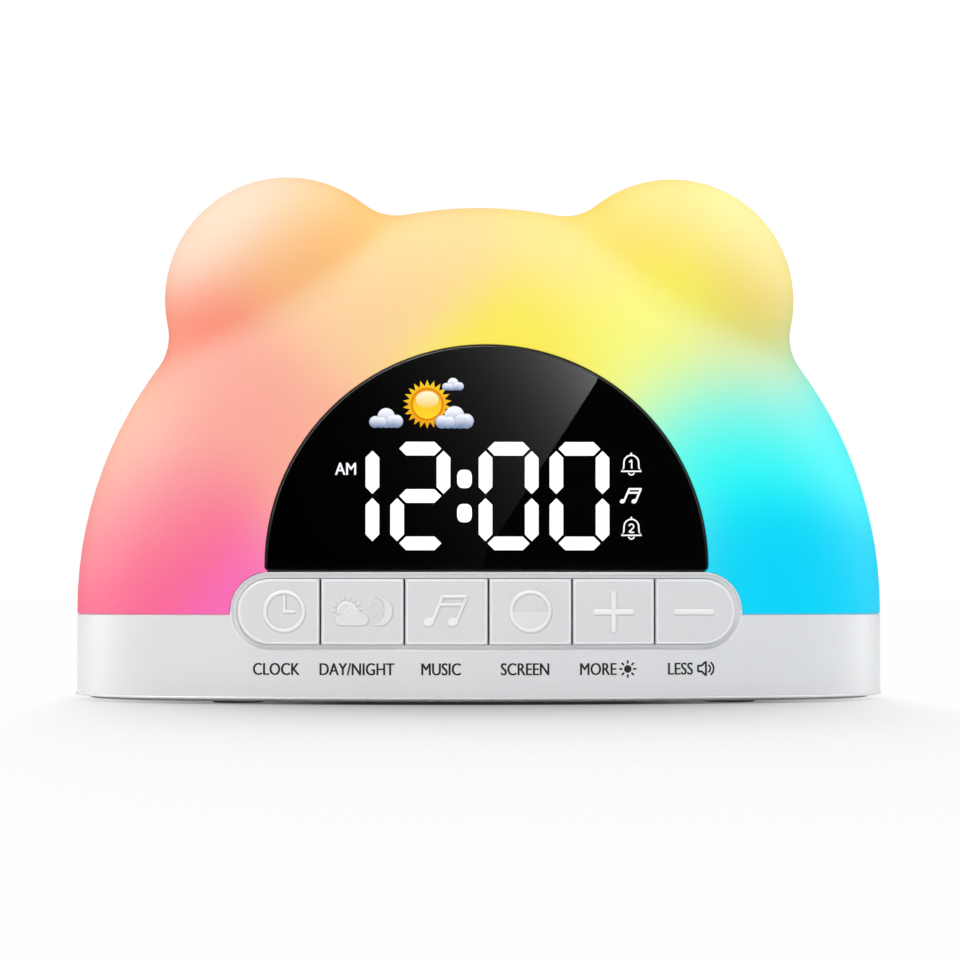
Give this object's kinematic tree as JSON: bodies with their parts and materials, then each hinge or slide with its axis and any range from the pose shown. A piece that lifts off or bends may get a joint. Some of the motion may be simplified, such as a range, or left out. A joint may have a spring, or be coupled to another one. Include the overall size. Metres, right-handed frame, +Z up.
{
  "type": "sunrise alarm clock",
  "caption": "Half-round sunrise alarm clock: glowing dome with round ears, smoked half-round display lens, and a low white base with a pill-shaped tray of press keys.",
  "frame": {"origin": "middle of the footprint, on the surface that the feet stand on", "axes": "+X to the clock's right as seen from the front, -Y out of the display, +Z up"},
  "size_m": [0.1604, 0.0768, 0.1039],
  "materials": {
    "dome_plastic": "satin translucent plastic, lit from inside",
    "base_plastic": "fine satin moulding",
    "key_plastic": "fine satin moulding",
    "smoked_lens": "polished smoked acrylic",
    "black_plastic": "matt black moulding",
    "lit_diffuser": "milky diffuser, lit white",
    "indicator_film": "printed light film",
    "foot_rubber": "matt rubber",
    "screw_steel": "zinc plated",
    "circuit_board": "solder-masked laminate",
    "white_board": "white solder-masked laminate",
    "led_package": "clear resin on a white cup",
    "keypad_silicone": "matt silicone",
    "carbon_rubber": "conductive rubber",
    "chip_epoxy": "moulded epoxy",
    "capacitor_can": "bare aluminium can",
    "cell_steel": "nickel plated",
    "inlet_steel": "drawn steel",
    "gasket_foam": "black foam",
    "speaker_steel": "pressed steel",
    "speaker_paper": "black paper",
    "magnet_ferrite": "bare ferrite",
    "ribbon_film": "flat flexible cable"
  },
  "bodies": {
    "clock_body": {"light_dome": "dome_plastic", "base_housing": "base_plastic", "bottom_cover": "base_plastic", "rubber_feet": "foot_rubber", "cover_screws": "screw_steel", "display_lens": "smoked_lens", "lens_tape": "black_plastic", "display_housing": "black_plastic", "digit_reflector": "black_plastic", "digit_segments": "lit_diffuser", "indicator_windows": "indicator_film", "display_board": "circuit_board", "display_leds": "led_package", "display_screws": "screw_steel", "silicone_keypad": "keypad_silicone", "carbon_pills": "carbon_rubber", "button_board": "circuit_board", "button_board_screws": "screw_steel", "lamp_board": "white_board", "lamp_leds": "led_package", "lamp_board_screws": "screw_steel", "dome_screws": "screw_steel", "main_board": "circuit_board", "main_board_screws": "screw_steel", "board_chips": "chip_epoxy", "board_capacitors": "capacitor_can", "cell_holder": "black_plastic", "coin_cell": "cell_steel", "usb_shell": "inlet_steel", "usb_tongue": "black_plastic", "speaker_gasket": "gasket_foam", "speaker_frame": "speaker_steel", "speaker_cone": "speaker_paper", "speaker_magnet": "magnet_ferrite", "display_ribbon": "ribbon_film", "button_ribbon": "ribbon_film", "lamp_ribbon": "ribbon_film"},
    "clock_key": {"clock_button": "key_plastic"},
    "lamp_key": {"lamp_button": "key_plastic"},
    "melody_key": {"melody_button": "key_plastic"},
    "screen_key": {"screen_button": "key_plastic"},
    "plus_key": {"plus_button": "key_plastic"},
    "minus_key": {"minus_button": "key_plastic"}
  },
  "joints": [
    {"name": "clock_key_press", "type": "slide", "parent": "clock_body", "child": "clock_key", "axis": [0, 1, 0], "range_m": [0, 0.0012], "stiffness_N_per_m": 600, "deforming": ["silicone_keypad", "carbon_pills"]},
    {"name": "lamp_key_press", "type": "slide", "parent": "clock_body", "child": "lamp_key", "axis": [0, 1, 0], "range_m": [0, 0.0012], "stiffness_N_per_m": 600, "deforming": ["silicone_keypad", "carbon_pills"]},
    {"name": "melody_key_press", "type": "slide", "parent": "clock_body", "child": "melody_key", "axis": [0, 1, 0], "range_m": [0, 0.0012], "stiffness_N_per_m": 600, "deforming": ["silicone_keypad", "carbon_pills"]},
    {"name": "screen_key_press", "type": "slide", "parent": "clock_body", "child": "screen_key", "axis": [0, 1, 0], "range_m": [0, 0.0012], "stiffness_N_per_m": 600, "deforming": ["silicone_keypad", "carbon_pills"]},
    {"name": "plus_key_press", "type": "slide", "parent": "clock_body", "child": "plus_key", "axis": [0, 1, 0], "range_m": [0, 0.0012], "stiffness_N_per_m": 600, "deforming": ["silicone_keypad", "carbon_pills"]},
    {"name": "minus_key_press", "type": "slide", "parent": "clock_body", "child": "minus_key", "axis": [0, 1, 0], "range_m": [0, 0.0012], "stiffness_N_per_m": 600, "deforming": ["silicone_keypad", "carbon_pills"]}
  ]
}
